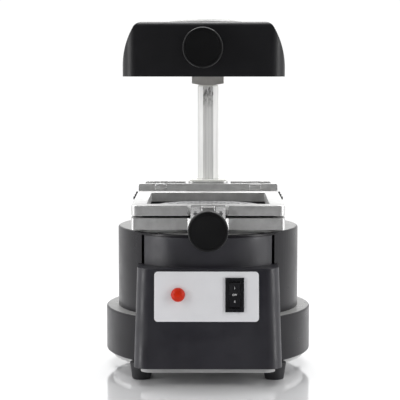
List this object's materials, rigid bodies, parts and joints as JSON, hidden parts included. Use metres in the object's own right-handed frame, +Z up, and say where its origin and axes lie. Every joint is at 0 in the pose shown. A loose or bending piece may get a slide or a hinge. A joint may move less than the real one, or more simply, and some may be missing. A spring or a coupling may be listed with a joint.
{
  "type": "dental vacuum former",
  "caption": "Bench vacuum former: drum base with a suction motor, perforated platen, hinged sheet frame on a post, and a swinging heating head.",
  "frame": {"origin": "on the bench, under the middle of the machine's width and depth", "axes": "+Z up, -Y towards the control panel, +X to the right as seen from the front"},
  "size_m": [0.204, 0.244, 0.3437],
  "materials": {
    "housing_black": "satin, fine grain",
    "head_black": "satin",
    "plate_grey": "satin",
    "panel_grey": "satin",
    "rubber_black": "matte",
    "screw_steel": "satin",
    "black_screw": "satin",
    "switch_black": "gloss",
    "contact_brass": "satin",
    "lamp_red": "gloss",
    "lamp_white": "matte",
    "motor_zinc": "satin",
    "winding_copper": "enamelled",
    "bearing_steel": "polished",
    "fan_alu": "satin",
    "duct_black": "matte",
    "platen_alu": "satin",
    "post_alu": "satin",
    "cast_alu": "cast, machined edges",
    "nylon_white": "matte",
    "knob_black": "satin",
    "collar_grey": "satin",
    "cap_grey": "satin",
    "reflector_alu": "bright",
    "fibre_board": "matte",
    "element_steel": "heat stained",
    "clip_ceramic": "matte"
  },
  "bodies": {
    "base": {"base_shell": "housing_black", "front_cover": "housing_black", "base_plate": "plate_grey", "plate_screws": "screw_steel", "rubber_feet": "rubber_black", "foot_screws": "screw_steel", "rear_housing": "housing_black", "housing_bolts": "screw_steel", "power_inlet": "switch_black", "inlet_pins": "contact_brass", "fuse_holder": "switch_black", "control_panel": "panel_grey", "lamp_lens": "lamp_red", "lamp_body": "lamp_white", "lamp_nut": "screw_steel", "switch_body": "switch_black", "motor_mount": "rubber_black", "motor_can": "motor_zinc", "stator": "winding_copper", "lower_bearing": "bearing_steel", "upper_bearing": "bearing_steel", "brush_holders": "contact_brass", "fan_case": "motor_zinc", "diffuser": "duct_black", "fan_seal": "rubber_black", "suction_duct": "duct_black", "platen_gasket": "rubber_black", "platen": "platen_alu", "platen_screws": "screw_steel", "post": "post_alu", "post_screws": "black_screw", "thrust_washer": "nylon_white", "pivot_nut": "screw_steel"},
    "rocker": {"rocker": "switch_black"},
    "rotor": {"motor_shaft": "screw_steel", "armature": "winding_copper", "lower_impeller": "fan_alu", "upper_impeller": "fan_alu"},
    "carriage": {"carriage": "cast_alu", "carriage_liner": "nylon_white", "carriage_screws": "screw_steel", "lower_frame": "cast_alu", "lower_sheet_seal": "rubber_black", "hinge_pin": "screw_steel", "handle_bracket": "cast_alu", "catch_plungers": "screw_steel", "handle_stem": "cast_alu", "handle_knob": "knob_black"},
    "upper_frame": {"upper_frame": "cast_alu", "upper_sheet_seal": "rubber_black"},
    "head": {"head_collar": "collar_grey", "head_shell": "head_black", "head_cap": "cap_grey", "reflector": "reflector_alu", "insulation": "fibre_board", "heating_element": "element_steel", "element_clips": "clip_ceramic", "head_stem": "cast_alu", "head_knob": "knob_black", "heater_lead": "rubber_black"}
  },
  "joints": [
    {"name": "carriage_slide", "type": "slide", "parent": "base", "child": "carriage", "axis": [0, 0, 1], "range_m": [0, 0.095]},
    {"name": "frame_hinge", "type": "hinge", "parent": "carriage", "child": "upper_frame", "pos_m": [0, 0.0726, 0.1694], "axis": [1, 0, 0], "range_deg": [-45, 0]},
    {"name": "head_swing", "type": "hinge", "parent": "base", "child": "head", "pos_m": [0, 0.0945, 0.3], "axis": [0, 0, 1], "range_deg": [-88.5, 91.5]},
    {"name": "rocker_tilt", "type": "hinge", "parent": "base", "child": "rocker", "pos_m": [0.025, -0.10904, 0.08429], "axis": [1, 0, 0], "range_deg": [-9, 9]},
    {"name": "rotor_spin", "type": "hinge", "parent": "base", "child": "rotor", "pos_m": [0, -0.011, 0.06], "axis": [0, 0, 1], "continuous": true}
  ]
}
